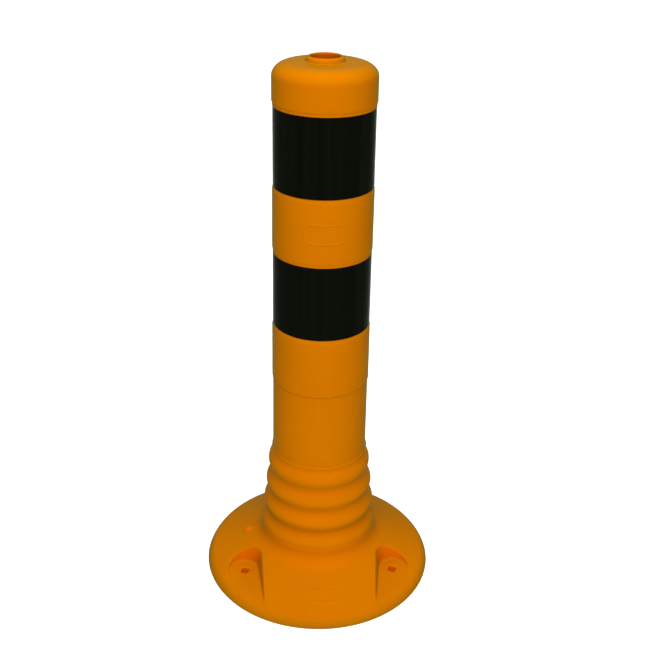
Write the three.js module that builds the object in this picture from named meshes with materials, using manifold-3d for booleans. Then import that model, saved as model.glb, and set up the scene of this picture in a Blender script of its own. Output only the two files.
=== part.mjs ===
// Flexible delineator post: a hollow self-righting post on a round bolt-down base.
// Millimetres, +Z up. The origin is on the ground, on the post's axis, and the front faces -Y.

import * as THREE from 'three';
import { mergeVertices } from 'three/addons/utils/BufferGeometryUtils.js';
import Module from 'manifold-3d';

const wasm = await Module();
wasm.setup();

// Driving dimensions.
const HEIGHT = 450;
const BASE_RADIUS = 100;
const TUBE_RADIUS = 40.4; // of the plain tube, carried down to the ground
const TAPER = 0.005; // the tube's radius lost for each millimetre of height
const BORE_RADIUS = 35;
const GAP = 0.3; // between neighbouring pieces
const SEGMENTS = 48; // round the post's axis

// Heights of the borders between the pieces, from the ground up.
const NECK_BOTTOM = 44.3;
const WAVE_PITCH = 20.55;
const NECK_TOP = NECK_BOTTOM + 3 * WAVE_PITCH;
const TUBE_START = 130;
const TUBE_MIDDLE = 159;
const LOWER_LAND_BOTTOM = 187;
const LOWER_LAND_TOP = 239;
const MIDDLE_LAND_BOTTOM = 300;
const MIDDLE_LAND_TOP = 354;
const CAP_BOTTOM = 414.5;

// Base.
const CONE_SLOPE = THREE.MathUtils.degToRad(27.6);
const RIM_LEAN = THREE.MathUtils.degToRad(20); // of the rim from upright, where it meets the ground
const POCKET_FLOOR = 9.1;
const POCKET_EDGE_RADIUS = 90; // where the base's cone comes down to the pocket floor
const HUB_RADIUS = 50.6;
const HUB_FILLET = 15;
const HUB_BORE_RADIUS = 43.5;
const SHELL = 5.5;
const RECESS_INNER_RADIUS = 54;
const RECESS_OUTER_RADIUS = 86;
const RIB_COUNT = 12;
const RIB_THICKNESS = 4;
const RECESS_CORNER = 2;

// Bolt pockets. Each is a slot with a round end, open towards the rim. A pocket's round end sits
// a little in front of and outside the bolt.
const BOLT_CIRCLE_RADIUS = 74.5;
const BOLT_ANGLE = 61; // degrees either side of the front
const BOLT_HOLE_RADIUS = 3.75;
const BOLT_DISH_RADIUS = 6;
const BOLT_DISH_DEPTH = 1.2;
const POCKET_RADIUS = 14.2;
const POCKET_OUT = 1.1;
const POCKET_FORWARD = 0.3;
const POCKET_SPLAY = Math.tan(THREE.MathUtils.degToRad(7));
const POCKET_LENGTH = 50;
const POCKET_WALL = 4;

// Moulding gate mark on the base's left.
const GATE_DISTANCE = 63.5;
const GATE_RADIUS = 4;
const GATE_TOP_RADIUS = 3.4;
const GATE_HEIGHT = 1.4;

// Neck.
const CREST_RADIUS_LOW = 50.2;
const CREST_RADIUS_HIGH = 43.7;
const WAVE_DEPTH = 2.9;
const NECK_WALL = 7; // from the line through the crests to the bore
const WAVE_STEPS = 8;
const TOP_GROOVE_RADIUS = 40.7;
const LIP_HEIGHT = 119.6;
const LIP_DROP = 0.7;

// Raised lands and film bands. Their rises are measured from the plain tube.
const LAND_RISE = 0.65;
const LAND_BEVEL = 3;
const STEP_BEVEL = 1; // at a land's lower edge, and above the cap's foot
const FILM_RISE = 0.25;
const FILM_THICKNESS = 0.5;
const FOOT_BAND = 2.2; // plain band between a film and the land or cap above it

// Cap.
const CAP_RISE = 1;
const CAP_FOOT_RISE = 0.45;
const CAP_SHOULDER = 435;
const CROWN_RADIUS = 24;
const CROWN_EDGE = 445.7;
const COLLAR_FOOT = 446.2;
const COLLAR_RADIUS = 13.8;
const COLLAR_ROUNDING = 1.2;
const SOCKET_RADIUS = 11.2;
const SOCKET_WALL = 3.5;
const SOCKET_DEPTH = 28;
const CROWN_THICKNESS = 4.5;
const INNER_SHOULDER = 433;
const SOCKET_CHAMFER = 0.5;

// Cutting shapes run this far past the faces they cut through.
const OVERRUN = 50;

const moulding = { color: 0xd97600, roughness: 0.45, metalness: 0 };
const blackFilm = { color: 0x0c0f0b, roughness: 0.15, metalness: 0 };

const post = new THREE.Group();

function addPiece(name, geometry, finish) {
  const piece = new THREE.Mesh(geometry, new THREE.MeshStandardMaterial(finish));
  piece.name = name;
  post.add(piece);
}

// A closed section of (radius, height) points, up the outside and down the inside, turned about Z.
function turned(section) {
  const closed = [...section, section[0]].map(([radius, height]) => new THREE.Vector2(radius, height));
  return new THREE.LatheGeometry(closed, SEGMENTS).rotateX(Math.PI / 2);
}

function toSolid(geometry) {
  const bare = geometry.clone();
  bare.deleteAttribute('normal');
  bare.deleteAttribute('uv');
  const merged = mergeVertices(bare, 1e-4);
  const shape = new wasm.Mesh({
    numProp: 3,
    vertProperties: new Float32Array(merged.attributes.position.array),
    triVerts: new Uint32Array(merged.index.array),
  });
  return new wasm.Manifold(shape);
}

function toGeometry(solid) {
  const shape = solid.getMesh();
  const geometry = new THREE.BufferGeometry();
  geometry.setAttribute('position', new THREE.BufferAttribute(shape.vertProperties, 3));
  geometry.setIndex(new THREE.BufferAttribute(shape.triVerts, 1));
  return geometry;
}

function arc(centreRadius, centreHeight, radiusAcross, radiusUp, fromAngle, toAngle, steps) {
  return Array.from({ length: steps + 1 }, (_, i) => {
    const angle = fromAngle + ((toAngle - fromAngle) * i) / steps;
    return [centreRadius + radiusAcross * Math.cos(angle), centreHeight + radiusUp * Math.sin(angle)];
  });
}

function tubeRadius(height) {
  return TUBE_RADIUS - TAPER * height;
}

function coneHeight(radius) {
  return POCKET_FLOOR + (POCKET_EDGE_RADIUS - radius) * Math.tan(CONE_SLOPE);
}

function crestLine(height) {
  const share = (height - NECK_BOTTOM) / (NECK_TOP - NECK_BOTTOM);
  return THREE.MathUtils.lerp(CREST_RADIUS_LOW, CREST_RADIUS_HIGH, share);
}

function waveRadius(height) {
  const turn = (2 * Math.PI * (height - NECK_BOTTOM)) / WAVE_PITCH;
  return crestLine(height) - (WAVE_DEPTH * (1 - Math.cos(turn))) / 2;
}

// The slot of a bolt pocket seen from above, open towards -Y, with its bolt at the origin.
function pocketShape(radius) {
  const mouth = radius + POCKET_LENGTH * POCKET_SPLAY;
  const shape = new THREE.Shape();
  shape.moveTo(-radius, 0);
  shape.lineTo(-mouth, -POCKET_LENGTH);
  shape.lineTo(mouth, -POCKET_LENGTH);
  shape.lineTo(radius, 0);
  shape.absarc(0, 0, radius, 0, Math.PI, false);
  return shape;
}

function extruded(shape, bottom, top) {
  const settings = { depth: top - bottom, bevelEnabled: false, curveSegments: 12 };
  return new THREE.ExtrudeGeometry(shape, settings).translate(0, 0, bottom);
}

function upright(radiusTop, radiusBottom, bottom, top, sides) {
  return new THREE.CylinderGeometry(radiusTop, radiusBottom, top - bottom, sides)
    .rotateX(Math.PI / 2)
    .translate(0, 0, (bottom + top) / 2);
}

// Two bolts near the front and one at the back. The two front pockets open forwards and the back
// one backwards.
const boltPlaces = [-BOLT_ANGLE, BOLT_ANGLE, 180].map((degrees) => {
  const angle = THREE.MathUtils.degToRad(degrees);
  const side = Math.abs(degrees) < 90 ? Math.sign(degrees) : 0;
  return {
    x: BOLT_CIRCLE_RADIUS * Math.sin(angle),
    y: -BOLT_CIRCLE_RADIUS * Math.cos(angle),
    out: side * POCKET_OUT,
    turn: side === 0 ? Math.PI : 0,
  };
});

function atBolt(geometry, place) {
  return geometry.translate(place.x, place.y, 0);
}

function atPocket(geometry, place) {
  return atBolt(geometry.translate(place.out, -POCKET_FORWARD, 0).rotateZ(place.turn), place);
}

function baseShell() {
  const slope = CONE_SLOPE;
  // The rim's arc starts on the ground at BASE_RADIUS, leaning in, and runs into the cone.
  const rimReach = (BASE_RADIUS - POCKET_EDGE_RADIUS) * Math.sin(slope) - POCKET_FLOOR * Math.cos(slope);
  const rimRadius = -rimReach / (1 - Math.sin(slope + RIM_LEAN));
  const rimCentre = BASE_RADIUS - rimRadius * Math.cos(RIM_LEAN);
  const rimDepth = rimRadius * Math.sin(RIM_LEAN);
  const filletRadius = HUB_RADIUS + HUB_FILLET;
  const filletHeight = coneHeight(filletRadius) + HUB_FILLET / Math.cos(slope);
  return turned([
    [HUB_BORE_RADIUS, 0],
    ...arc(rimCentre, -rimDepth, rimRadius, rimRadius, RIM_LEAN, Math.PI / 2 - slope, 5),
    ...arc(filletRadius, filletHeight, HUB_FILLET, HUB_FILLET, 1.5 * Math.PI - slope, Math.PI, 5),
    [CREST_RADIUS_LOW, NECK_BOTTOM - GAP / 2],
    [HUB_BORE_RADIUS, NECK_BOTTOM - GAP / 2],
  ]);
}

// The hollow under the base, between its inner and outer foot rings. It leaves the bolt bosses and ribs.
function undersideRecess() {
  const innerCeiling = coneHeight(RECESS_INNER_RADIUS + RECESS_CORNER) - SHELL;
  let recess = toSolid(turned([
    [RECESS_INNER_RADIUS, -1],
    [RECESS_OUTER_RADIUS, -1],
    [RECESS_OUTER_RADIUS, coneHeight(RECESS_OUTER_RADIUS) - SHELL],
    [RECESS_INNER_RADIUS + RECESS_CORNER, innerCeiling],
    [RECESS_INNER_RADIUS, innerCeiling],
  ]));
  for (const place of boltPlaces) {
    const boss = atPocket(extruded(pocketShape(POCKET_RADIUS + POCKET_WALL), -OVERRUN, OVERRUN), place);
    recess = recess.subtract(toSolid(boss));
  }
  const ribLength = RECESS_OUTER_RADIUS - RECESS_INNER_RADIUS + 2 * RIB_THICKNESS;
  for (let i = 0; i < RIB_COUNT; i++) {
    const rib = new THREE.BoxGeometry(ribLength, RIB_THICKNESS, 2 * OVERRUN)
      .translate((RECESS_OUTER_RADIUS + RECESS_INNER_RADIUS) / 2, 0, 0)
      .rotateZ(((i + 0.5) * 2 * Math.PI) / RIB_COUNT);
    recess = recess.subtract(toSolid(rib));
  }
  return recess;
}

function gateMark() {
  return upright(GATE_TOP_RADIUS, GATE_RADIUS, -GATE_HEIGHT, GATE_HEIGHT, 16)
    .rotateY(-CONE_SLOPE)
    .translate(-GATE_DISTANCE, 0, coneHeight(GATE_DISTANCE));
}

function addBaseFlange() {
  let base = toSolid(baseShell()).add(toSolid(gateMark())).subtract(undersideRecess());
  for (const place of boltPlaces) {
    const pocket = atPocket(extruded(pocketShape(POCKET_RADIUS), POCKET_FLOOR, OVERRUN), place);
    const hole = atBolt(upright(BOLT_HOLE_RADIUS, BOLT_HOLE_RADIUS, -OVERRUN, OVERRUN, 16), place);
    const dish = atBolt(upright(
      2 * BOLT_DISH_RADIUS - BOLT_HOLE_RADIUS,
      BOLT_HOLE_RADIUS,
      POCKET_FLOOR - BOLT_DISH_DEPTH,
      POCKET_FLOOR + BOLT_DISH_DEPTH,
      24,
    ), place);
    for (const cutter of [pocket, hole, dish]) {
      base = base.subtract(toSolid(cutter));
    }
  }
  addPiece('base_flange', toGeometry(base), moulding);
}

// One wave of the neck, from crest to crest, so the groove that folds is at its middle.
function addNeckRing(name, bottom) {
  const top = bottom + WAVE_PITCH;
  const low = bottom + GAP / 2;
  const high = top - GAP / 2;
  const outside = Array.from({ length: WAVE_STEPS + 1 }, (_, i) => {
    const height = THREE.MathUtils.lerp(low, high, i / WAVE_STEPS);
    return [waveRadius(height), height];
  });
  addPiece(name, turned([
    [crestLine(low) - NECK_WALL, low],
    ...outside,
    [crestLine(high) - NECK_WALL, high],
  ]), moulding);
}

// The neck's last half wave, its lip, and the foot of the plain tube.
function addNeckShoulder() {
  const low = NECK_TOP + GAP / 2;
  const high = TUBE_START - GAP / 2;
  const groove = NECK_TOP + WAVE_PITCH / 2;
  const depth = (CREST_RADIUS_HIGH - TOP_GROOVE_RADIUS) / 2;
  const halfWave = Array.from({ length: WAVE_STEPS / 2 + 1 }, (_, i) => {
    const share = i / (WAVE_STEPS / 2);
    const radius = CREST_RADIUS_HIGH - depth * (1 - Math.cos(Math.PI * share));
    return [radius, THREE.MathUtils.lerp(low, groove, share)];
  });
  addPiece('neck_shoulder', turned([
    [CREST_RADIUS_HIGH - NECK_WALL, low],
    ...halfWave,
    [TOP_GROOVE_RADIUS, LIP_HEIGHT],
    [tubeRadius(LIP_HEIGHT), LIP_HEIGHT + LIP_DROP],
    [tubeRadius(high), high],
    [BORE_RADIUS, high],
    [BORE_RADIUS, LIP_HEIGHT],
  ]), moulding);
}

function addTube(name, bottom, top, rise) {
  const low = bottom + GAP / 2;
  const high = top - GAP / 2;
  addPiece(name, turned([
    [BORE_RADIUS, low],
    [tubeRadius(low) + rise, low],
    [tubeRadius(high) + rise, high],
    [BORE_RADIUS, high],
  ]), moulding);
}

// A land stands proud of the surface below it, which rises by footRise over a band footHeight tall.
// Its top bevels down to meet the film above.
function addLand(name, bottom, top, footRise, footHeight) {
  const low = bottom + GAP / 2;
  const high = top - GAP / 2;
  const step = low + footHeight;
  addPiece(name, turned([
    [BORE_RADIUS, low],
    [tubeRadius(low) + footRise, low],
    [tubeRadius(step) + footRise, step],
    [tubeRadius(step) + LAND_RISE, step + STEP_BEVEL],
    [tubeRadius(high) + LAND_RISE, high - LAND_BEVEL],
    [tubeRadius(high), high],
    [BORE_RADIUS, high],
  ]), moulding);
}

function addFilm(name, bottom, top) {
  const low = bottom + GAP;
  const high = top - GAP;
  addPiece(name, turned([
    [tubeRadius(low) + FILM_RISE - FILM_THICKNESS, low],
    [tubeRadius(low) + FILM_RISE, low],
    [tubeRadius(high) + FILM_RISE, high],
    [tubeRadius(high) + FILM_RISE - FILM_THICKNESS, high],
  ]), blackFilm);
}

// The domed cap, its collar, and the open socket that hangs from its crown.
function addTopCap() {
  const low = CAP_BOTTOM + GAP / 2;
  const step = low + FOOT_BAND;
  const side = tubeRadius(CAP_SHOULDER) + CAP_RISE;
  const shoulderAcross = side - CROWN_RADIUS;
  const shoulderUp = CROWN_EDGE - CAP_SHOULDER;
  const socketBottom = HEIGHT - SOCKET_DEPTH;
  const innerCrown = COLLAR_FOOT - CROWN_THICKNESS;
  addPiece('top_cap', turned([
    [BORE_RADIUS, low],
    [tubeRadius(low) + CAP_FOOT_RISE, low],
    [tubeRadius(step) + CAP_FOOT_RISE, step],
    [tubeRadius(step) + CAP_RISE, step + STEP_BEVEL],
    ...arc(CROWN_RADIUS, CAP_SHOULDER, shoulderAcross, shoulderUp, 0, Math.PI / 2, 8),
    [COLLAR_RADIUS, COLLAR_FOOT],
    ...arc(COLLAR_RADIUS - COLLAR_ROUNDING, HEIGHT - COLLAR_ROUNDING, COLLAR_ROUNDING, COLLAR_ROUNDING,
      0, Math.PI / 2, 3),
    [SOCKET_RADIUS + SOCKET_CHAMFER, HEIGHT],
    [SOCKET_RADIUS, HEIGHT - SOCKET_CHAMFER],
    [SOCKET_RADIUS, socketBottom],
    [SOCKET_RADIUS + SOCKET_WALL, socketBottom],
    [SOCKET_RADIUS + SOCKET_WALL, innerCrown],
    [CROWN_RADIUS, innerCrown],
    [BORE_RADIUS, INNER_SHOULDER],
  ]), moulding);
}

addBaseFlange();
addNeckRing('neck_ring_lower', NECK_BOTTOM);
addNeckRing('neck_ring_middle', NECK_BOTTOM + WAVE_PITCH);
addNeckRing('neck_ring_upper', NECK_BOTTOM + 2 * WAVE_PITCH);
addNeckShoulder();
addTube('tube_lower', TUBE_START, TUBE_MIDDLE, 0);
addTube('tube_upper', TUBE_MIDDLE, LOWER_LAND_BOTTOM, 0);
addLand('lower_land', LOWER_LAND_BOTTOM, LOWER_LAND_TOP, 0, 0);
addTube('lower_film_seat', LOWER_LAND_TOP, MIDDLE_LAND_BOTTOM, FILM_RISE - FILM_THICKNESS - GAP);
addFilm('lower_film', LOWER_LAND_TOP, MIDDLE_LAND_BOTTOM);
addLand('middle_land', MIDDLE_LAND_BOTTOM, MIDDLE_LAND_TOP, FILM_RISE, FOOT_BAND);
addTube('upper_film_seat', MIDDLE_LAND_TOP, CAP_BOTTOM, FILM_RISE - FILM_THICKNESS - GAP);
addFilm('upper_film', MIDDLE_LAND_TOP, CAP_BOTTOM);
addTopCap();

export default post;
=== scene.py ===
"""Looks of the flexible delineator post: moulded skins, film bands, materials, light and camera."""

import math

import bpy
import numpy as np
from mathutils import Matrix, Vector


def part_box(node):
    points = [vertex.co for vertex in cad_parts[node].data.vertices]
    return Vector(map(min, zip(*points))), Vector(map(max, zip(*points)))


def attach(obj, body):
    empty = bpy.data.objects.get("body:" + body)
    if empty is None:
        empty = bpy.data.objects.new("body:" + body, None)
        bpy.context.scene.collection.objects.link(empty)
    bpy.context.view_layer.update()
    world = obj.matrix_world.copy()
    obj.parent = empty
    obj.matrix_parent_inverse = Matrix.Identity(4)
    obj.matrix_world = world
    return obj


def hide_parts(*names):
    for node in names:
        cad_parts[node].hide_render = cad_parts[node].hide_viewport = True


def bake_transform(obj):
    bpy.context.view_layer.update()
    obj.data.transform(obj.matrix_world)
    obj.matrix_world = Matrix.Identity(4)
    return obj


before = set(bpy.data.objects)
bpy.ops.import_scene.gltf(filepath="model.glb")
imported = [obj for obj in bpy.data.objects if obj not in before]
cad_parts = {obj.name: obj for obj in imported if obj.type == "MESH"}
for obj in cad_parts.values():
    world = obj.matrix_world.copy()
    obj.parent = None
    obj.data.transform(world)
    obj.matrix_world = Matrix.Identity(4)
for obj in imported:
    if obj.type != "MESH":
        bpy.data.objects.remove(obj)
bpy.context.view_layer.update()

MM = 0.001

# ---------------------------------------------------------------- sizes, in mm, from the frame


def box_mm(node):
    low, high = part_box(node)
    return [v / MM for v in low], [v / MM for v in high]


def top_of(node):
    return box_mm(node)[1][2]


def foot_of(node):
    return box_mm(node)[0][2]


def border(lower, upper):
    """Height where one piece hands over to the next, halfway across the gap between them."""
    return (top_of(lower) + foot_of(upper)) / 2


BASE_RADIUS = box_mm("base_flange")[1][0]
NECK_BOTTOM = border("base_flange", "neck_ring_lower")
NECK_TOP = border("neck_ring_upper", "neck_shoulder")
WAVE_PITCH = (NECK_TOP - NECK_BOTTOM) / 3
TUBE_START = border("neck_shoulder", "tube_lower")
TUBE_MIDDLE = border("tube_lower", "tube_upper")
LOWER_LAND_BOTTOM = border("tube_upper", "lower_land")
LOWER_LAND_TOP = border("lower_land", "lower_film_seat")
MIDDLE_LAND_BOTTOM = border("lower_film_seat", "middle_land")
MIDDLE_LAND_TOP = border("middle_land", "upper_film_seat")
CAP_BOTTOM = border("upper_film_seat", "top_cap")
HEIGHT = top_of("top_cap")

TAPER = 0.005
TUBE_RADIUS = box_mm("tube_lower")[1][0] + TAPER * foot_of("tube_lower")
BORE_RADIUS = 35.0
CREST_RADIUS_LOW = box_mm("neck_ring_lower")[1][0]
CREST_RADIUS_HIGH = box_mm("neck_shoulder")[1][0]
WAVE_DEPTH = 2.9
NECK_WALL = 7.0
TOP_GROOVE_RADIUS = 40.7
LIP_HEIGHT = 119.5
LIP_DROP = 0.8
LAND_RISE = 0.65
LAND_BEVEL = 3.0
STEP_BEVEL = 1.0
FILM_RISE = 0.25
FILM_THICKNESS = 0.5
FOOT_BAND = 2.2

POCKET_FLOOR = 9.1
CONE_TAN = math.tan(math.radians(27.6))
RIM_LEAN = math.radians(20)
POCKET_EDGE_RADIUS = 90.0
HUB_RADIUS = 50.6
HUB_FILLET = 15.0
HUB_BORE_RADIUS = 43.5
SHELL = 5.5
RECESS_INNER_RADIUS = 54.0
RECESS_OUTER_RADIUS = 86.0
RIB_COUNT = 12
RIB_THICKNESS = 4.0

BOLT_CIRCLE_RADIUS = 74.5
BOLT_AZIMUTHS = (-61, 61, 180)
POCKET_RADIUS = 13.7
POCKET_OUT = 1.1
POCKET_FORWARD = 0.3
POCKET_SPLAY = math.tan(math.radians(7))
POCKET_WALL_SLOPE = 6.5
EYE_RADIUS = 8.5
HOLE_RADIUS = 3.55
GATE_DISTANCE = 63.5
GATE_BACK = 3.5
GATE_HEIGHT = 2.0
RUNNER_BACK = 3.0
RUNNER_HEIGHT = 0.45
BLANK_FORWARD = 77.5

CAP_RISE = 1.0
CAP_FOOT_RISE = 0.45
CAP_SHOULDER = 435.0
CROWN_RADIUS = 24.0
CROWN_EDGE = 445.7
COLLAR_FOOT = 446.2
COLLAR_FOOT_RADIUS = 14.9
SOCKET_RADIUS = 11.2
SOCKET_FOOT = 422.0
SOCKET_OUTER_RADIUS = 14.7
CROWN_UNDERSIDE = 441.7
INNER_SHOULDER = 433.0
DOME_FULLNESS = 0.88

# How strongly each place gets painted glow, a redder, brighter colour standing in for light bounced round
# inside recesses, from 0 to 1; the gate mark gets the same redder colour.
POCKET_GLOW = 0.75
GROOVE_GLOW = 0.25
GATE_GLOW = 0.5
SOCKET_GLOW = 0.8

# ---------------------------------------------------------------- mesh helpers


def turn_angles(*windows, step=1.5):
    """Angles round the axis in degrees: one every step, and closer in each (middle, reach, step) window."""
    angles = np.arange(0, 360, step)
    for middle, reach, fine in windows:
        away = np.abs((angles - middle + 180) % 360 - 180)
        angles = angles[away > reach + fine / 2]
        angles = np.concatenate([angles, np.arange(middle - reach, middle + reach + fine / 2, fine)])
    return np.radians(np.unique(np.round(angles % 360, 4)))


PARTING_WINDOWS = ((0, 1.6, 0.16), (180, 1.6, 0.16))


def grid_faces(rows, columns):
    """Quads of a grid that closes on itself both ways."""
    row, column = np.meshgrid(np.arange(rows), np.arange(columns), indexing="ij")
    next_row, next_column = (row + 1) % rows, (column + 1) % columns
    corners = (row * columns + column, row * columns + next_column,
               next_row * columns + next_column, next_row * columns + column)
    return np.stack([corner.ravel() for corner in corners], axis=1)


def make_object(name, points_mm, faces, normals=None, painted_glow=None):
    """A mesh piece. The last argument gives, for each point, how much painted glow it gets, a redder colour
    standing in for light bounced round in recesses, from 0 to 1.
    """
    mesh = bpy.data.meshes.new(name)
    mesh.from_pydata((points_mm * MM).tolist(), [], faces.tolist())
    mesh.shade_smooth()
    if painted_glow is not None:
        mesh.attributes.new("painted_glow", "FLOAT", "POINT").data.foreach_set("value", np.ravel(painted_glow))
    if normals is not None:
        mesh.normals_split_custom_set_from_vertices(normals.tolist())
    mesh.update()
    piece = bpy.data.objects.new(name, mesh)
    bpy.context.scene.collection.objects.link(piece)
    return piece


def across(first, second):
    """Unit normals from two sets of tangents."""
    normal = np.cross(first, second)
    return normal / np.maximum(np.linalg.norm(normal, axis=-1, keepdims=True), 1e-12)


def grid_normals(points):
    """Normals of a closed grid of points, rows running up the outside."""
    along = np.roll(points, -1, axis=0) - np.roll(points, 1, axis=0)
    around = np.roll(points, -1, axis=1) - np.roll(points, 1, axis=1)
    return across(around, along)


def smoothstep(low, high, value):
    share = np.clip((value - low) / (high - low), 0, 1)
    return share * share * (3 - 2 * share)


def soft_max(value, softness):
    """max(value, 0) with its corner rounded."""
    return (value + np.sqrt(value**2 + softness**2)) / 2


def soft_min(first, second, softness):
    return (first + second - np.sqrt((first - second) ** 2 + softness**2)) / 2


def softened(corners, cut=0.5, steps=4):
    """A closed outline of (radius, height) corners with each corner cut back and rounded."""
    outline = []
    corners = [np.array(corner[:2], float) for corner in corners]
    for i, corner in enumerate(corners):
        before, after = corners[i - 1], corners[(i + 1) % len(corners)]
        ends = []
        for other in (before, after):
            reach = other - corner
            length = np.linalg.norm(reach)
            ends.append(corner + reach * min(cut, 0.4 * length) / length)
        for share in np.linspace(0, 1, steps + 1):
            outline.append((1 - share) ** 2 * ends[0] + 2 * share * (1 - share) * corner + share**2 * ends[1])
    return np.array(outline)


def filled_in(outline, longest):
    """The outline with long stretches divided, so that no step is longer than longest."""
    points = []
    for here, there in zip(outline, np.roll(outline, -1, axis=0)):
        count = max(1, math.ceil(np.linalg.norm(there - here) / longest))
        points += [here + (there - here) * i / count for i in range(count)]
    return np.array(points)


# ---------------------------------------------------------------- the moulding's outside


def tube_radius(height):
    return TUBE_RADIUS - TAPER * height


def crest_line(height):
    share = (height - NECK_BOTTOM) / (NECK_TOP - NECK_BOTTOM)
    return CREST_RADIUS_LOW + (CREST_RADIUS_HIGH - CREST_RADIUS_LOW) * share


def land_rise(height):
    """How far the tube's skin stands out from the plain tube: lands up, film seats down."""
    seat = FILM_RISE - FILM_THICKNESS - 0.3
    step = MIDDLE_LAND_BOTTOM + FOOT_BAND
    knots = [
        (LOWER_LAND_BOTTOM - 0.4, 0), (LOWER_LAND_BOTTOM, -0.2), (LOWER_LAND_BOTTOM + STEP_BEVEL, LAND_RISE),
        (LOWER_LAND_TOP - LAND_BEVEL, LAND_RISE), (LOWER_LAND_TOP, 0.05), (LOWER_LAND_TOP + 0.1, seat),
        (MIDDLE_LAND_BOTTOM - 0.1, seat), (MIDDLE_LAND_BOTTOM, FILM_RISE),
        (step, FILM_RISE), (step + STEP_BEVEL, LAND_RISE),
        (MIDDLE_LAND_TOP - LAND_BEVEL, LAND_RISE), (MIDDLE_LAND_TOP, 0.05), (MIDDLE_LAND_TOP + 0.1, seat),
    ]
    heights, rises = zip(*knots)
    shifts = np.linspace(-0.4, 0.4, 9)
    return np.mean([np.interp(height + shift, heights, rises) for shift in shifts], axis=0)


def lip_radius(height):
    """The flat above the last groove, its small lip and the plain tube above."""
    drop = smoothstep(LIP_HEIGHT, LIP_HEIGHT + LIP_DROP, height)
    bead = 0.12 * np.exp(-(((height - LIP_HEIGHT + 0.4) / 0.7) ** 2))
    return TOP_GROOVE_RADIUS * (1 - drop) + tube_radius(height) * drop + bead


def skin_radius(height):
    height = np.asarray(height, float)
    wave = np.cos(2 * np.pi * (height - NECK_BOTTOM) / WAVE_PITCH)
    neck = crest_line(height) - WAVE_DEPTH * (1 - wave) / 2
    last_groove = NECK_TOP + WAVE_PITCH / 2
    half_wave = CREST_RADIUS_HIGH - (CREST_RADIUS_HIGH - TOP_GROOVE_RADIUS) * (1 - wave) / 2
    tube = np.where(height < last_groove, half_wave, lip_radius(height) + land_rise(height))
    blend = smoothstep(NECK_TOP - 3, NECK_TOP + 3, height)
    return np.where(height < NECK_TOP + 3, neck * (1 - blend) + half_wave * blend, tube)


def groove_shelter(height):
    """How deep a height lies in a groove of the neck, 0 on the crests and 1 at the bottom."""
    wave = (1 - np.cos(2 * np.pi * (height - NECK_BOTTOM) / WAVE_PITCH)) / 2
    last_groove = NECK_TOP + WAVE_PITCH / 2
    fading = smoothstep(LIP_HEIGHT, last_groove, height)
    return np.where(height < last_groove, wave, fading) ** 2


def sag(angle, height):
    """Slow unevenness of a thick moulding as it cools, about a tenth of a millimetre."""
    return (0.05 * np.sin(2 * angle + 0.013 * height + 0.6)
            + 0.03 * np.sin(3 * angle - 0.031 * height)
            + 0.02 * np.sin(5 * angle + 0.07 * height + 1.9)
            + 0.015 * np.sin(0.21 * height + 2 * np.cos(angle)))


def parting_line(angle, radius):
    """Fine ridge where the two mould halves met, on the post's left and right."""
    off_line = radius * np.abs(np.sin(angle))
    return 0.09 * np.exp(-((off_line / 0.3) ** 2))


def outline_ridge(distance_across, distance_up, half_width, half_height, corner, height):
    """A raised outline of a rectangle with round corners."""
    x = np.abs(distance_across) - (half_width - corner)
    y = np.abs(distance_up) - (half_height - corner)
    outside = np.hypot(np.maximum(x, 0), np.maximum(y, 0)) + np.minimum(np.maximum(x, y), 0) - corner
    return height * np.exp(-((outside / 0.55) ** 2))


def plate_outline(angle, height):
    """Blank outline on the front of the middle land, where a maker would put a mark."""
    from_front = (angle - 1.5 * np.pi) * tube_radius(height)
    from_middle = height - (MIDDLE_LAND_BOTTOM + MIDDLE_LAND_TOP) / 2
    return outline_ridge(from_front, from_middle, 15, 7.5, 4, 0.3)


def film_lap(angle):
    """The film's end laps over its start at the back: a sharp edge one way and a soft swell the other."""
    degrees = np.degrees(angle)
    return 0.2 * smoothstep(98.0, 98.25, degrees) * (1 - smoothstep(109, 113, degrees))


def skin_piece(name, bottom, top, inner, angles, row_step=0.55, radius_at=skin_radius, relief=None, tuck=1.2):
    """A ring of the moulding between two heights. Past each end the skin runs on under its neighbour."""
    visible = np.linspace(bottom, top, max(2, round((top - bottom) / row_step)) + 1)
    heights = np.concatenate([[bottom - tuck], visible, [top + tuck]])
    inset = np.zeros(len(heights))
    inset[[0, -1]] = 0.25

    def surface(height, angle):
        radius = radius_at(height) + sag(angle, height) + parting_line(angle, radius_at(height))
        if relief is not None:
            radius = radius + relief(angle, height)
        return radius

    def points(height, angle, less=0.0):
        radius = surface(height, angle) - less
        return np.stack([radius * np.cos(angle), radius * np.sin(angle), height + 0 * angle], axis=-1)

    height, angle = np.meshgrid(heights, angles, indexing="ij")
    outside = points(height, angle, inset[:, None])
    tiny = 0.02
    normals = across(points(height, angle + tiny / 40) - points(height, angle - tiny / 40),
                     points(height + tiny, angle) - points(height - tiny, angle))
    inner_heights = np.array([top, bottom])
    inner_radii = np.array([inner(top), inner(bottom)])
    cosines = np.stack([np.cos(angles), np.sin(angles)], axis=-1)
    inside = np.concatenate([
        inner_radii[:, None, None] * cosines[None],
        np.broadcast_to(inner_heights[:, None, None], (2, len(angles), 1)),
    ], axis=-1)
    inside_normals = np.concatenate([-cosines, np.zeros((len(angles), 1))], axis=-1)[None].repeat(2, axis=0)
    all_points = np.concatenate([outside, inside])
    all_normals = np.concatenate([normals, inside_normals])
    faces = grid_faces(len(all_points), len(angles))
    # Painted glow in the neck's grooves: a redder colour standing in for light bounced round in them.
    painted_glow = GROOVE_GLOW * groove_shelter(all_points[..., 2])
    return make_object(name, all_points.reshape(-1, 3), faces, all_normals.reshape(-1, 3), painted_glow)


def bore(_height):
    return BORE_RADIUS


def neck_bore(height):
    return min(crest_line(height) - NECK_WALL, CREST_RADIUS_LOW)


def shoulder_bore(height):
    return CREST_RADIUS_HIGH - NECK_WALL if height < LIP_HEIGHT else BORE_RADIUS


# ---------------------------------------------------------------- base


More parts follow.
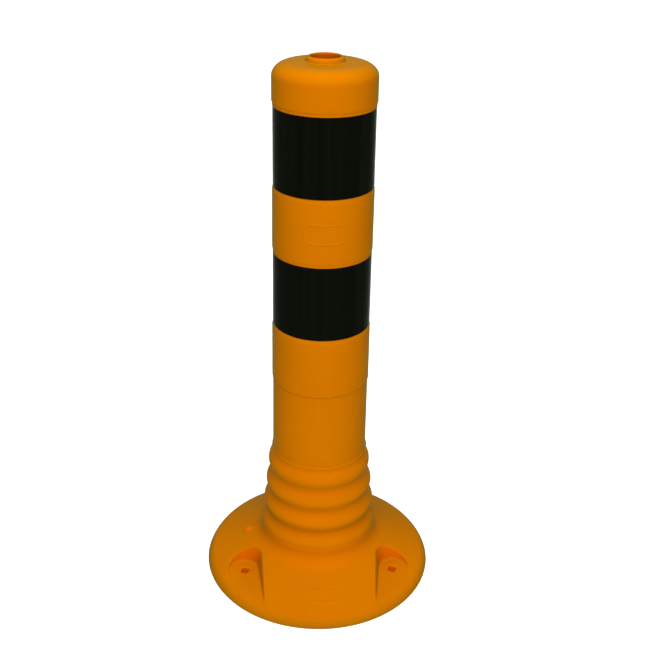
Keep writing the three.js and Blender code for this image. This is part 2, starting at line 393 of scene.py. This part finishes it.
def pocket_distance(x, y):
    """Distance outside the nearest bolt pocket's outline; negative inside it."""
    nearest = np.full(np.shape(x), 1e3)
    for azimuth in BOLT_AZIMUTHS:
        direction = -1 if azimuth == 180 else 1
        outwards = 0 if azimuth == 180 else math.copysign(POCKET_OUT, azimuth)
        centre_x = BOLT_CIRCLE_RADIUS * math.sin(math.radians(azimuth)) + outwards
        centre_y = -BOLT_CIRCLE_RADIUS * math.cos(math.radians(azimuth)) - direction * POCKET_FORWARD
        side = direction * (x - centre_x)
        ahead = direction * (y - centre_y)
        round_end = np.hypot(side, ahead) - POCKET_RADIUS
        slot = np.abs(side) - POCKET_RADIUS + ahead * POCKET_SPLAY
        nearest = np.minimum(nearest, np.where(ahead > 0, round_end, slot))
    return nearest


def gate_relief(x, y):
    """The round gate mark on the left, the flow ridge from it to the hub, and the parting line."""
    from_gate = np.hypot(x + GATE_DISTANCE, y - GATE_BACK)
    button = GATE_HEIGHT * (1 - smoothstep(2.4, 4.6, from_gate))
    along = smoothstep(-GATE_DISTANCE, -GATE_DISTANCE + 3, x) * (x < 0)
    runner = RUNNER_HEIGHT * np.exp(-(((y - RUNNER_BACK) / 2.2) ** 2)) * along
    line = 0.09 * np.exp(-((y / 0.3) ** 2))
    return button + runner + line


def blank_oval(x, y):
    """Blank raised outline on the front slope of the base."""
    return outline_ridge(x, y + BLANK_FORWARD, 15, 4.6, 4.5, 0.22) * (y < 0)


def slope_height(x, y, plain=None):
    """Top surface of the base with its pockets. plain is its height uncut, which is the cone if left out."""
    radius = np.hypot(x, y)
    if plain is None:
        plain = POCKET_FLOOR + (POCKET_EDGE_RADIUS - radius) * CONE_TAN
    whole = plain + sag(np.arctan2(y, x), radius) + gate_relief(x, y) + blank_oval(x, y)
    pocket = POCKET_FLOOR + POCKET_WALL_SLOPE * soft_max(pocket_distance(x, y), 0.35)
    return soft_min(whole, pocket, 1.8)


def underside_height(x, y):
    """Bottom surface of the base: feet, bosses and ribs at the ground, cells between them."""
    radius = np.hypot(x, y)
    spacing = 2 * np.pi / RIB_COUNT
    off_rib = (np.arctan2(y, x) % spacing) - spacing / 2
    from_rib = radius * np.abs(np.sin(off_rib)) - RIB_THICKNESS / 2
    from_feet = np.minimum(radius - RECESS_INNER_RADIUS, RECESS_OUTER_RADIUS - radius)
    inside_cell = np.minimum(np.minimum(from_feet, from_rib), pocket_distance(x, y) - 5)
    ceiling = POCKET_FLOOR + (POCKET_EDGE_RADIUS - radius) * CONE_TAN - SHELL
    return np.maximum(soft_min(6 * soft_max(inside_cell - 0.6, 0.5), ceiling, 1.5) - 0.1, 0)


def base_profile():
    """Rim, slope, fillet and hub as (radius, height) rows from the ground up."""
    angle = math.atan(CONE_TAN)
    rise = (BASE_RADIUS - POCKET_EDGE_RADIUS) * math.sin(angle) - POCKET_FLOOR * math.cos(angle)
    rim = -rise / (1 - math.sin(angle + RIM_LEAN))
    turn = np.linspace(RIM_LEAN, math.pi / 2 - angle, 16)
    rim_rows = np.stack([BASE_RADIUS + rim * (np.cos(turn) - math.cos(RIM_LEAN)),
                         rim * (np.sin(turn) - math.sin(RIM_LEAN))], axis=1)
    fillet_radius = HUB_RADIUS + HUB_FILLET
    fillet_height = (POCKET_FLOOR + (POCKET_EDGE_RADIUS - fillet_radius) * CONE_TAN
                     + HUB_FILLET / math.cos(angle))
    turn = np.linspace(1.5 * math.pi - angle, math.pi, 20)
    fillet_rows = np.stack([fillet_radius + HUB_FILLET * np.cos(turn),
                            fillet_height + HUB_FILLET * np.sin(turn)], axis=1)
    slope_radii = np.linspace(rim_rows[-1, 0], fillet_rows[0, 0], 90)[1:-1]
    slope_rows = np.stack([slope_radii, POCKET_FLOOR + (POCKET_EDGE_RADIUS - slope_radii) * CONE_TAN], axis=1)
    hub_heights = np.linspace(fillet_rows[-1, 1], NECK_BOTTOM, 16)[1:]
    share = smoothstep(0, 1, (hub_heights - hub_heights[0]) / (NECK_BOTTOM - hub_heights[0]))
    hub_rows = np.stack([HUB_RADIUS + (CREST_RADIUS_LOW - HUB_RADIUS) * share, hub_heights], axis=1)
    tuck = [[CREST_RADIUS_LOW - 0.25, NECK_BOTTOM + 1.2]]
    return np.concatenate([rim_rows, slope_rows, fillet_rows, hub_rows, tuck])


def make_base_skin():
    angles = turn_angles(
        (219, 25, 0.32), (321, 25, 0.32), (90, 19, 0.32), (180, 5, 0.25), (0, 1.4, 0.2), (270, 11, 0.4)
    )
    profile = base_profile()
    radius, angle = np.meshgrid(profile[:, 0], angles, indexing="ij")
    height = np.repeat(profile[:, 1:2], len(angles), axis=1)
    x, y = radius * np.cos(angle), radius * np.sin(angle)
    moved = slope_height(x, y, height) - height
    on_slope = smoothstep(51, 55, radius) * smoothstep(99.2, 96, radius)
    hub_sag = sag(angle, height) * (1 - on_slope) * smoothstep(60, 52, radius)
    top = np.stack([x + hub_sag * np.cos(angle), y + hub_sag * np.sin(angle),
                    height + moved * on_slope], axis=-1)

    under_radii = np.concatenate([np.linspace(HUB_BORE_RADIUS, RECESS_INNER_RADIUS - 0.5, 4),
                                  np.linspace(RECESS_INNER_RADIUS, RECESS_OUTER_RADIUS, 50),
                                  [RECESS_OUTER_RADIUS + 1, 93, BASE_RADIUS - 0.4]])
    under_radius, under_angle = np.meshgrid(under_radii, angles, indexing="ij")
    under_x, under_y = under_radius * np.cos(under_angle), under_radius * np.sin(under_angle)
    under = np.stack([under_x, under_y, underside_height(under_x, under_y)], axis=-1)

    wall = np.stack([HUB_BORE_RADIUS * np.cos(angles), HUB_BORE_RADIUS * np.sin(angles),
                     np.full(len(angles), NECK_BOTTOM)], axis=-1)[None]
    points = np.concatenate([wall, under, top])
    # Painted glow on the pocket walls and round the hub: a redder colour standing in for light bounced round
    # in these recesses; the gate mark gets the same redder colour.
    on_wall = smoothstep(-0.6, 0.5, pocket_distance(x, y))
    in_pocket = POCKET_GLOW * smoothstep(0.4, 2.0, -moved * on_slope) * on_wall
    by_hub = GROOVE_GLOW * smoothstep(60, 53, radius)
    on_gate = GATE_GLOW * smoothstep(4.8, 2.5, np.hypot(x + GATE_DISTANCE, y - GATE_BACK))
    top_glow = np.maximum(np.maximum(in_pocket, by_hub), on_gate)
    painted_glow = np.concatenate([np.zeros(points.shape[:2])[:-len(top)], top_glow])
    faces = grid_faces(len(points), len(angles))
    flat = points.reshape(-1, 3)
    centres = flat[faces].mean(axis=1)
    near_bolt = np.zeros(len(faces), bool)
    for place in bolt_places():
        near_bolt |= np.hypot(centres[:, 0] - place[0], centres[:, 1] - place[1]) < EYE_RADIUS - 1.6
    near_bolt &= centres[:, 2] < POCKET_FLOOR + 3
    return make_object("base_skin", flat, faces[~near_bolt], grid_normals(points).reshape(-1, 3), painted_glow)


def bolt_places():
    for azimuth in BOLT_AZIMUTHS:
        turn = math.radians(azimuth)
        yield BOLT_CIRCLE_RADIUS * math.sin(turn), -BOLT_CIRCLE_RADIUS * math.cos(turn)


def make_bolt_eye(name, centre):
    """The dished seat round a screw hole and the hole's wall. The hole is slightly four-cornered."""
    angles = np.radians(np.arange(0, 360, 5))
    ring = np.concatenate([np.linspace(EYE_RADIUS, 6.6, 5), np.linspace(6.3, 3.9, 10)])
    dish = -0.4 * smoothstep(5.8, 3.9, ring)
    radius, angle = np.meshgrid(ring, angles, indexing="ij")
    hole = HOLE_RADIUS + 0.45 * np.cos(4 * (angle - 0.42))
    radius = np.where(radius < 5.5, hole + (radius - 3.9) * (5.5 - hole) / 1.6, radius)
    x, y = centre[0] + radius * np.cos(angle), centre[1] + radius * np.sin(angle)
    top = np.stack([x, y, slope_height(x, y) + 0.02 + dish[:, None]], axis=-1)
    rim = hole[0]
    lower = []
    wall_and_foot = ((-0.1, POCKET_FLOOR - 1.0), (-0.1, 4.5), (0.0, 0.3), (0.4, 0.0), (4.5, 0.0), (5.0, 0.3))
    for spread, height in wall_and_foot:
        lower.append(np.stack([centre[0] + (rim + spread) * np.cos(angles),
                               centre[1] + (rim + spread) * np.sin(angles),
                               np.full(len(angles), height)], axis=-1))
    points = np.concatenate([top, np.array(lower)])[::-1]
    faces = grid_faces(len(points), len(angles))
    normals = grid_normals(points)
    normals[-1] = normals[-2]
    # Painted glow inside the hole: a redder colour standing in for light bounced round in it.
    in_hole = smoothstep(POCKET_FLOOR - 0.3, POCKET_FLOOR - 1.0, points[..., 2])
    return make_object(name, points.reshape(-1, 3), faces, normals.reshape(-1, 3), in_hole)


# ---------------------------------------------------------------- cap


def make_cap():
    """The domed cap with its collar, and the socket that hangs from its crown."""
    side = tube_radius(CAP_SHOULDER) + CAP_RISE
    turn = np.linspace(0, math.pi / 2, 40)
    dome = np.stack([CROWN_RADIUS + (side - CROWN_RADIUS) * np.cos(turn) ** DOME_FULLNESS,
                     CAP_SHOULDER + (CROWN_EDGE - CAP_SHOULDER) * np.sin(turn) ** DOME_FULLNESS], axis=1)
    low = CAP_BOTTOM + 0.15
    step = low + FOOT_BAND
    edge = softened([(BORE_RADIUS, low), (tube_radius(low) + CAP_FOOT_RISE, low),
                     (tube_radius(step) + 0.4, step), (tube_radius(step) + CAP_RISE, step + STEP_BEVEL),
                     (side, CAP_SHOULDER)], 0.35, 5)[:-6]
    collar = softened([(dome[-1, 0], dome[-1, 1]), (COLLAR_FOOT_RADIUS, COLLAR_FOOT), (14.4, HEIGHT - 2.2),
                       (13.6, HEIGHT - 0.6), (12.5, HEIGHT), (11.8, HEIGHT),
                       (SOCKET_RADIUS + 0.05, HEIGHT - 0.8), (SOCKET_RADIUS, HEIGHT - 5)], 0.9, 6)[7:-7]
    inside = softened([(SOCKET_RADIUS, HEIGHT - 6), (SOCKET_RADIUS, SOCKET_FOOT),
                       (SOCKET_OUTER_RADIUS, SOCKET_FOOT), (SOCKET_OUTER_RADIUS, CROWN_UNDERSIDE),
                       (CROWN_RADIUS, CROWN_UNDERSIDE), (BORE_RADIUS, INNER_SHOULDER),
                       (BORE_RADIUS, low + 1)], 0.6, 3)
    section = filled_in(np.concatenate([edge, dome, collar, inside]), 2.0)
    angles = turn_angles(*PARTING_WINDOWS)
    radius, angle = np.meshgrid(section[:, 0], angles, indexing="ij")
    height = np.repeat(section[:, 1:2], len(angles), axis=1)
    outer = smoothstep(16, 30, radius) * (height > low - 1)
    radius = radius + outer * (sag(angle, height) + parting_line(angle, radius))
    points = np.stack([radius * np.cos(angle), radius * np.sin(angle), height], axis=-1)
    faces = grid_faces(len(points), len(angles))
    # Painted glow inside the socket: a redder, brighter colour standing in for light bounced round in it.
    in_socket = SOCKET_GLOW * smoothstep(HEIGHT - 0.5, HEIGHT - 2.5, height) * (radius < 12)
    normals = grid_normals(points).reshape(-1, 3)
    return make_object("cap_skin", points.reshape(-1, 3), faces, normals, in_socket)


# ---------------------------------------------------------------- materials


class Nodes:
    """A material under construction, with short ways to add and join nodes."""

    def __init__(self, name):
        self.material = bpy.data.materials.new(name)
        self.material.use_nodes = True
        self.tree = self.material.node_tree
        self.shader = self.tree.nodes["Principled BSDF"]
        self.place = self.add("ShaderNodeTexCoord").outputs["Object"]

    def add(self, kind, **settings):
        node = self.tree.nodes.new(kind)
        for key, value in settings.items():
            setattr(node, key, value)
        return node

    def join(self, source, target):
        self.tree.links.new(source, target)

    def noise(self, scale, detail=3.0, roughness=0.5, stretch=(1, 1, 1)):
        mapping = self.add("ShaderNodeMapping")
        mapping.inputs["Scale"].default_value = stretch
        self.join(self.place, mapping.inputs["Vector"])
        noise = self.add("ShaderNodeTexNoise")
        noise.inputs["Scale"].default_value = scale
        noise.inputs["Detail"].default_value = detail
        noise.inputs["Roughness"].default_value = roughness
        self.join(mapping.outputs["Vector"], noise.inputs["Vector"])
        return noise.outputs["Fac"]

    def ramp(self, source, *stops):
        ramp = self.add("ShaderNodeValToRGB")
        elements = ramp.color_ramp.elements
        for element, (position, colour) in zip(elements, (stops[0], stops[-1])):
            element.position, element.color = position, (*colour, 1)
        for position, colour in stops[1:-1]:
            elements.new(position).color = (*colour, 1)
        self.join(source, ramp.inputs["Fac"])
        return ramp.outputs["Color"]

    def between(self, source, low, high, from_low=0.3, from_high=0.7):
        span = self.add("ShaderNodeMapRange")
        span.inputs["From Min"].default_value = from_low
        span.inputs["From Max"].default_value = from_high
        span.inputs["To Min"].default_value = low
        span.inputs["To Max"].default_value = high
        self.join(source, span.inputs["Value"])
        return span.outputs["Result"]

    def bumps(self, *layers):
        """Stacks (height, strength, distance in metres) layers of bump."""
        normal = None
        for height, strength, distance in layers:
            bump = self.add("ShaderNodeBump")
            bump.inputs["Strength"].default_value = strength
            bump.inputs["Distance"].default_value = distance
            self.join(height, bump.inputs["Height"])
            if normal is not None:
                self.join(normal, bump.inputs["Normal"])
            normal = bump.outputs["Normal"]
        self.join(normal, self.shader.inputs["Normal"])


def polyurethane():
    """Moulded polyurethane: faint clouds, fine grain, lighter rubbed edges, painted glow in recesses, painted
    contact shadow at the foot.
    """
    nodes = Nodes("orange_polyurethane")
    clouds = nodes.noise(14, detail=4)
    flecks = nodes.noise(420, detail=2)
    body = nodes.ramp(clouds, (0.30, (0.68, 0.162, 0.0)), (0.52, (0.706, 0.169, 0.0)),
                      (0.74, (0.73, 0.177, 0.0)))
    mix = nodes.add("ShaderNodeMix", data_type="RGBA")
    nodes.join(nodes.between(flecks, 0.0, 0.16, 0.55, 0.75), mix.inputs["Factor"])
    nodes.join(body, mix.inputs["A"])
    mix.inputs["B"].default_value = (0.64, 0.15, 0.0, 1)
    worn = nodes.add("ShaderNodeMix", data_type="RGBA")
    edges = nodes.add("ShaderNodeNewGeometry").outputs["Pointiness"]
    nodes.join(nodes.between(edges, 0.0, 0.3, 0.52, 0.6), worn.inputs["Factor"])
    nodes.join(mix.outputs["Result"], worn.inputs["A"])
    worn.inputs["B"].default_value = (0.78, 0.22, 0.002, 1)
    shine = nodes.shader.inputs
    # Painted glow: on pocket walls, neck grooves, the hub fillet, bolt holes and the socket the colour is
    # mixed toward a redder, brighter orange and the coat is thinned, standing in for light bounced round
    # inside them; the gate mark gets the same redder colour.
    painted_glow = nodes.add("ShaderNodeAttribute", attribute_name="painted_glow").outputs["Fac"]
    glow = nodes.add("ShaderNodeMix", data_type="RGBA")
    nodes.join(painted_glow, glow.inputs["Factor"])
    glow.inputs["B"].default_value = (0.80, 0.128, 0.0, 1)
    nodes.join(nodes.between(painted_glow, 1.0, 0.4, 0, 1), shine["Coat Weight"])
    shine["Sheen Weight"].default_value = 0.10
    # Painted contact shadow: the lowest 7 mm are mixed toward a dark olive, most at the ground, standing in
    # for the shade where the base's rim meets the floor.
    height = nodes.add("ShaderNodeSeparateXYZ")
    nodes.join(nodes.place, height.inputs["Vector"])
    foot_shadow = nodes.add("ShaderNodeMix", data_type="RGBA")
    nodes.join(nodes.between(height.outputs["Z"], 0.6, 0.0, 0.0, 0.007), foot_shadow.inputs["Factor"])
    nodes.join(worn.outputs["Result"], foot_shadow.inputs["A"])
    foot_shadow.inputs["B"].default_value = (0.20, 0.12, 0.004, 1)
    nodes.join(foot_shadow.outputs["Result"], glow.inputs["A"])
    nodes.join(glow.outputs["Result"], shine["Base Color"])
    gloss = nodes.add("ShaderNodeMix", data_type="FLOAT")
    nodes.join(nodes.between(edges, 0.0, 1.0, 0.52, 0.57), gloss.inputs["Factor"])
    nodes.join(nodes.between(nodes.noise(60, detail=5), 0.28, 0.40), gloss.inputs["A"])
    gloss.inputs["B"].default_value = 0.14
    nodes.join(gloss.outputs["Result"], shine["Roughness"])
    shine["Specular IOR Level"].default_value = 0.0
    shine["Sheen Roughness"].default_value = 0.3
    # The green sheen tint and the tinted coat green and darken every surface seen edge-on: a painted green
    # sheen and painted shade along the outline.
    shine["Sheen Tint"].default_value = (0.1, 0.8, 0.08, 1)
    shine["Coat IOR"].default_value = 1.02
    shine["Coat Roughness"].default_value = 0.4
    shine["Coat Tint"].default_value = (0.76, 0.86, 0.8, 1)
    nodes.bumps((nodes.noise(110, detail=3), 0.10, 0.0006), (nodes.noise(1500, detail=2), 0.12, 0.00012))
    return nodes.material


def film():
    """Glossy black adhesive film, with faint vertical drawing lines from how it was wrapped."""
    nodes = Nodes("black_film")
    streaks = nodes.noise(160, detail=3, stretch=(1, 1, 0.02))
    nodes.join(nodes.ramp(streaks, (0.35, (0.0024, 0.0030, 0.0018)), (0.7, (0.0042, 0.0050, 0.0028))),
               nodes.shader.inputs["Base Color"])
    nodes.join(nodes.between(nodes.noise(45, detail=4), 0.10, 0.20), nodes.shader.inputs["Roughness"])
    nodes.shader.inputs["Specular IOR Level"].default_value = 0.002
    nodes.shader.inputs["Sheen Weight"].default_value = 0.03
    nodes.shader.inputs["Sheen Roughness"].default_value = 0.3
    # The green sheen tint paints a green sheen on the film where it is seen edge-on.
    nodes.shader.inputs["Sheen Tint"].default_value = (0.45, 0.9, 0.35, 1)
    nodes.bumps((streaks, 0.12, 0.0003), (nodes.noise(900, detail=2), 0.04, 0.00008))
    return nodes.material


def floor_paint():
    nodes = Nodes("studio_floor")
    nodes.join(nodes.ramp(nodes.noise(6, detail=4), (0.4, (0.86, 0.86, 0.855)), (0.6, (0.885, 0.885, 0.88))),
               nodes.shader.inputs["Base Color"])
    nodes.join(nodes.between(nodes.noise(30), 0.7, 0.8), nodes.shader.inputs["Roughness"])
    nodes.shader.inputs["Emission Color"].default_value = (1, 1, 1, 1)
    nodes.shader.inputs["Emission Strength"].default_value = 0.34
    nodes.bumps((nodes.noise(200), 0.02, 0.0005))
    return nodes.material


# ---------------------------------------------------------------- pieces

moulding = polyurethane()
black_film = film()


def dress(piece, material, slot, *nodes):
    piece.data.materials.clear()
    piece.data.materials.append(material)
    if nodes:
        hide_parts(*nodes)


plain_angles = turn_angles(*PARTING_WINDOWS)

# (piece, body below, body above, CAD node, bottom, top, bore)
flexing = (
    ("neck_skin_lower", "base", "neck_lower", "neck_ring_lower",
     NECK_BOTTOM, NECK_BOTTOM + WAVE_PITCH, neck_bore),
    ("neck_skin_middle", "neck_lower", "neck_middle", "neck_ring_middle",
     NECK_BOTTOM + WAVE_PITCH, NECK_TOP - WAVE_PITCH, neck_bore),
    ("neck_skin_upper", "neck_middle", "neck_upper", "neck_ring_upper",
     NECK_TOP - WAVE_PITCH, NECK_TOP, neck_bore),
    ("shoulder_skin", "neck_upper", "neck_top", "neck_shoulder", NECK_TOP, TUBE_START, shoulder_bore),
    ("tube_skin_lower", "neck_top", "tube_foot", "tube_lower", TUBE_START, TUBE_MIDDLE, bore),
    ("tube_skin_upper", "tube_foot", "post", "tube_upper", TUBE_MIDDLE, LOWER_LAND_BOTTOM, bore),
)
for name, below, above, node, bottom, top, inner in flexing:
    piece = skin_piece(name, bottom, top, inner, plain_angles, row_step=0.5 if top < TUBE_START + 1 else 1.2)
    dress(piece, moulding, "orange_polyurethane", node)
    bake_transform(piece)

lower_land = skin_piece("lower_land_skin", LOWER_LAND_BOTTOM, LOWER_LAND_TOP + 1.5, bore, plain_angles,
                        row_step=0.4)
dress(lower_land, moulding, "orange_polyurethane", "lower_land")
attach(lower_land, "post")

front_window = (270, 26, 0.4)
middle_land = skin_piece("middle_land_skin", MIDDLE_LAND_BOTTOM - 1.5, MIDDLE_LAND_TOP + 1.5, bore,
                         turn_angles(front_window, *PARTING_WINDOWS), row_step=0.35, relief=plate_outline)
dress(middle_land, moulding, "orange_polyurethane", "middle_land")
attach(middle_land, "post")

lap_window = (104, 12, 0.25)
for name, node, bottom, top in (
    ("lower_film_skin", "lower_film", LOWER_LAND_TOP, MIDDLE_LAND_BOTTOM),
    ("upper_film_skin", "upper_film", MIDDLE_LAND_TOP, CAP_BOTTOM),
):
    band = skin_piece(
        name, bottom + 0.1, top - 0.1, lambda height: tube_radius(height) + FILM_RISE - FILM_THICKNESS,
        turn_angles(lap_window), row_step=2.0, radius_at=lambda height: tube_radius(height) + FILM_RISE,
        relief=lambda angle, height: film_lap(angle) - parting_line(angle, tube_radius(height)), tuck=0.01,
    )
    dress(band, black_film, "black_film", node)
    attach(band, "post")

for node in ("lower_film_seat", "upper_film_seat"):
    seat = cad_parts[node]
    for slot in seat.material_slots:
        slot.material = moulding

cap = make_cap()
dress(cap, moulding, "orange_polyurethane", "top_cap")
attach(cap, "post")

base = make_base_skin()
dress(base, moulding, "orange_polyurethane", "base_flange")
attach(base, "base")
for name, place in zip(("bolt_eye_front_left", "bolt_eye_front_right", "bolt_eye_back"), bolt_places()):
    eye = make_bolt_eye(name, place)
    dress(eye, moulding, "orange_polyurethane")
    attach(eye, "base")

# ---------------------------------------------------------------- stage, light and camera


def make_floor():
    """A pale sweep: flat under the post, curving up far behind it."""
    mesh = bpy.data.meshes.new("studio_floor")
    across_steps = np.linspace(-6, 6, 13)
    profile = [(-6.0, 0.0), (2.0, 0.0)]
    profile += [(2.0 + 2.5 * math.sin(a), 2.5 - 2.5 * math.cos(a)) for a in np.linspace(0.1, math.pi / 2, 16)]
    profile.append((4.5, 7.0))
    points = [(x, y, z) for y, z in profile for x in across_steps]
    width = len(across_steps)
    faces = [(r * width + c, r * width + c + 1, (r + 1) * width + c + 1, (r + 1) * width + c)
             for r in range(len(profile) - 1) for c in range(width - 1)]
    mesh.from_pydata(points, [], faces)
    mesh.shade_smooth()
    mesh.materials.append(floor_paint())
    floor = bpy.data.objects.new("studio_floor", mesh)
    bpy.context.scene.collection.objects.link(floor)


def add_softbox(name, place, target, width, height, power):
    light = bpy.data.lights.new(name, "AREA")
    light.shape = "RECTANGLE"
    light.size, light.size_y = width, height
    light.energy = power
    lamp = bpy.data.objects.new(name, light)
    lamp.location = place
    lamp.rotation_euler = (Vector(target) - Vector(place)).to_track_quat("-Z", "Y").to_euler()
    bpy.context.scene.collection.objects.link(lamp)


def light_the_studio():
    world = bpy.data.worlds.new("studio")
    world.use_nodes = True
    background = world.node_tree.nodes["Background"]
    background.inputs["Color"].default_value = (1.0, 1.0, 1.0, 1)
    background.inputs["Strength"].default_value = 0.05
    bpy.context.scene.world = world
    sun = bpy.data.lights.new("key_light", "SUN")
    sun.energy = 2.5
    sun.angle = math.radians(50)
    key = bpy.data.objects.new("key_light", sun)
    key.rotation_euler = (math.radians(27), math.radians(-1), 0)
    bpy.context.scene.collection.objects.link(key)
    add_softbox("crown_light", (-0.03, -0.05, 0.98), (0, 0, HEIGHT * MM), 0.35, 0.35, 3.0)
    add_softbox("front_light", (0.25, -1.7, 0.55), (0, 0, 0.2), 0.7, 0.7, 5.6)
    add_softbox("rear_light", (0.15, 0.9, 1.1), (0, 0, 0.05), 0.6, 0.6, 2.5)


def place_camera():
    """The photograph's viewpoint: in front, a little to the left and above, looking down at the middle."""
    turned = math.radians(-2.8)
    camera_data = bpy.data.cameras.new("camera")
    camera_data.lens = 53.9
    camera_data.sensor_width = 36
    camera = bpy.data.objects.new("camera", camera_data)
    pitch, yaw, roll = math.radians(26.66), math.radians(-0.19), math.radians(1.07)
    aim = (Matrix.Rotation(turned - yaw, 3, "Z") @ Matrix.Rotation(math.pi / 2 - pitch, 3, "X")
           @ Matrix.Rotation(roll, 3, "Z"))
    place = Matrix.Rotation(turned, 3, "Z") @ Vector((0.00555, -0.7108, 0.5904))
    camera.matrix_world = Matrix.Translation(place) @ aim.to_4x4()
    bpy.context.scene.collection.objects.link(camera)
    bpy.context.scene.camera = camera


make_floor()
light_the_studio()
place_camera()
bpy.context.scene.view_settings.view_transform = "Standard"
